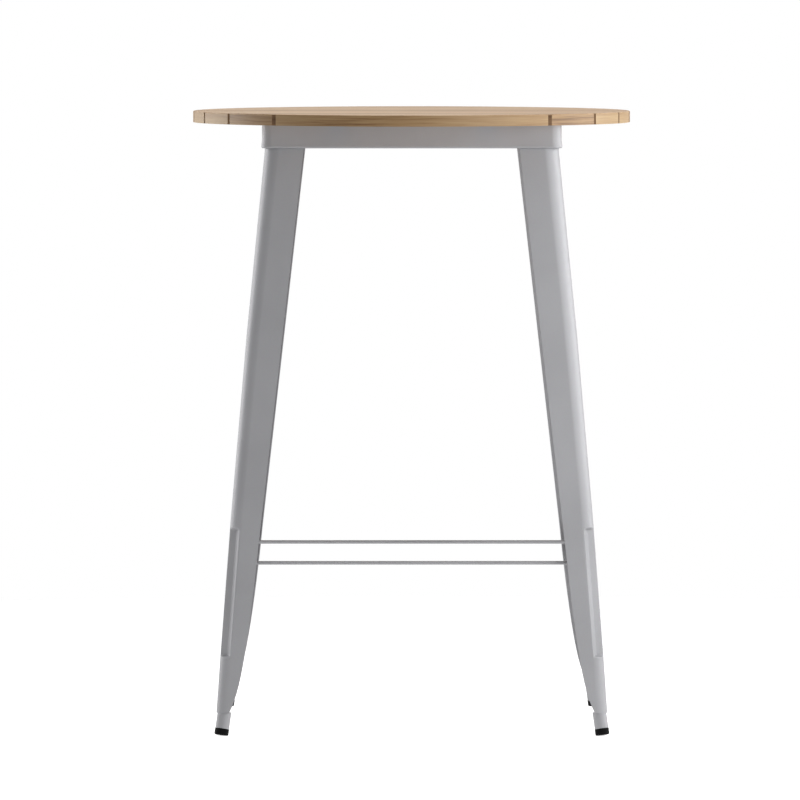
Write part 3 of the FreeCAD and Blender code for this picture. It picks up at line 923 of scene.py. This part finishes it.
class BARTABLE_OT_rod_bolts(bpy.types.Operator):
    """Bolt the rods' flat ends to the gussets"""

    bl_idname = "bar_table.rod_bolts"
    bl_label = "Rod bolts and nuts"

    def execute(self, context):
        settings = context.scene.bar_table_base
        flats, head, shank = settings.rod_bolt_flats, settings.rod_bolt_head, settings.rod_bolt_shank
        bolts = loose_boxes("rod_bolts")
        nuts = loose_boxes("rod_nuts")

        low, high = bolts[0]
        bolt = hexagon_bolt(flats, head, shank, high.z - low.z - head, "bolt")
        spots = [(on_axis(box, box[1].z - head), UP) for box in bolts]
        dress(copies_at(bolt, spots, "rod_bolts_zinc"), "zinc_steel", "rod_bolts")

        low, high = nuts[0]
        nut = hexagon_nut(flats, high.z - low.z, shank + settings.nut_clearance, "nut")
        spots = [(on_axis(box, box[1].z), -UP) for box in nuts]
        dress(copies_at(nut, spots, "rod_nuts_zinc"), "zinc_steel", "rod_nuts")
        return {"FINISHED"}


# Studio


def facing(place, target):
    """The turn of a lamp or camera that looks from a place at a target."""
    return (Vector(target) - Vector(place)).to_track_quat("-Z", "Y").to_euler()


def soft_box(name, place, target, size, power):
    """A square lamp that faces a target."""
    lamp = bpy.data.lights.new(name, "AREA")
    lamp.size = size
    lamp.energy = power
    obj = bpy.data.objects.new(name, lamp)
    obj.location = place
    obj.rotation_euler = facing(place, target)
    bpy.context.scene.collection.objects.link(obj)


def white_for_camera(tree):
    """One where the camera, a reflection or a see-through surface looks, nought where only light arrives."""
    path = add_node(tree, "ShaderNodeLightPath").outputs
    seen = path["Is Camera Ray"]
    for ray in ("Is Glossy Ray", "Is Transmission Ray"):
        either = add_node(tree, "ShaderNodeMath", {0: seen, 1: path[ray]}, operation="MAXIMUM")
        seen = either.outputs["Value"]
    return seen


class BARTABLE_OT_stage(bpy.types.Operator):
    """Set up the pale floor, the white surroundings, the soft lamps and the camera"""

    bl_idname = "bar_table.stage"
    bl_label = "Stage"

    def execute(self, context):
        scene = context.scene
        settings = scene.bar_table_stage

        bpy.ops.object.select_all(action="DESELECT")
        bpy.ops.mesh.primitive_circle_add(
            vertices=96, radius=settings.floor_radius, fill_type="NGON", location=(0, 0, 0)
        )
        floor = added("studio_floor")
        material, tree, shader = new_material("White Studio Floor")
        glow = add_node(
            tree,
            "ShaderNodeMapRange",
            {"Value": white_for_camera(tree), "To Min": settings.floor_bounce, "To Max": settings.floor_glow},
        )
        set_inputs(
            shader,
            {
                "Base Color": settings.floor_tone,
                "Roughness": 0.9,
                "Emission Color": WHITE,
                "Emission Strength": glow.outputs["Result"],
            },
        )
        floor.data.materials.append(material)

        world = bpy.data.worlds.new("White Surroundings")
        scene.world = world
        world.use_nodes = True
        tree = world.node_tree
        tree.nodes.clear()
        level = add_node(
            tree,
            "ShaderNodeMapRange",
            {"Value": white_for_camera(tree), "To Min": settings.ambient, "To Max": 1.0},
        )
        sky = add_node(tree, "ShaderNodeBackground", {"Color": WHITE, "Strength": level.outputs["Result"]})
        add_node(tree, "ShaderNodeOutputWorld", {"Surface": sky.outputs["Background"]})

        for name, place, target, size, power in SOFT_BOXES:
            soft_box(name, place, target, size, getattr(settings, power))

        lens = bpy.data.cameras.new("photo_camera")
        lens.sensor_width = SENSOR_WIDTH
        lens.lens = settings.focal_pixels / PHOTO_WIDTH * SENSOR_WIDTH
        lens.clip_end = 100.0
        camera = bpy.data.objects.new("photo_camera", lens)
        camera.location = settings.camera_place
        camera.rotation_euler = facing(settings.camera_place, settings.camera_target)
        scene.collection.objects.link(camera)
        scene.camera = camera
        scene.view_settings.view_transform = "Standard"
        return {"FINISHED"}


OPERATORS = (
    BARTABLE_OT_boards,
    BARTABLE_OT_bearers,
    BARTABLE_OT_board_screws,
    BARTABLE_OT_apron,
    BARTABLE_OT_legs,
    BARTABLE_OT_plates,
    BARTABLE_OT_leg_bolts,
    BARTABLE_OT_feet,
    BARTABLE_OT_rods,
    BARTABLE_OT_rod_bolts,
    BARTABLE_OT_stage,
)
SETTINGS = {"bar_table_top": TopSettings, "bar_table_base": BaseSettings, "bar_table_stage": StageSettings}


class BARTABLE_PT_panel(bpy.types.Panel):
    """The bar table's settings and pieces"""

    bl_idname = "BARTABLE_PT_panel"
    bl_label = "Bar Table"
    bl_space_type = "VIEW_3D"
    bl_region_type = "UI"
    bl_category = "Bar Table"

    def draw(self, context):
        for name, group in SETTINGS.items():
            box = self.layout.box()
            for prop in group.__annotations__:
                box.prop(getattr(context.scene, name), prop)
        for operator in OPERATORS:
            self.layout.operator(operator.bl_idname)


CLASSES = (*SETTINGS.values(), *OPERATORS, BARTABLE_PT_panel)


def register():
    for cls in CLASSES:
        bpy.utils.register_class(cls)
    for name, group in SETTINGS.items():
        setattr(bpy.types.Scene, name, PointerProperty(type=group))


def unregister():
    for name in SETTINGS:
        delattr(bpy.types.Scene, name)
    for cls in reversed(CLASSES):
        bpy.utils.unregister_class(cls)


def main():
    register()
    for operator in OPERATORS:
        group, name = operator.bl_idname.split(".")
        getattr(getattr(bpy.ops, group), name)()


if __name__ == "__main__":
    main()
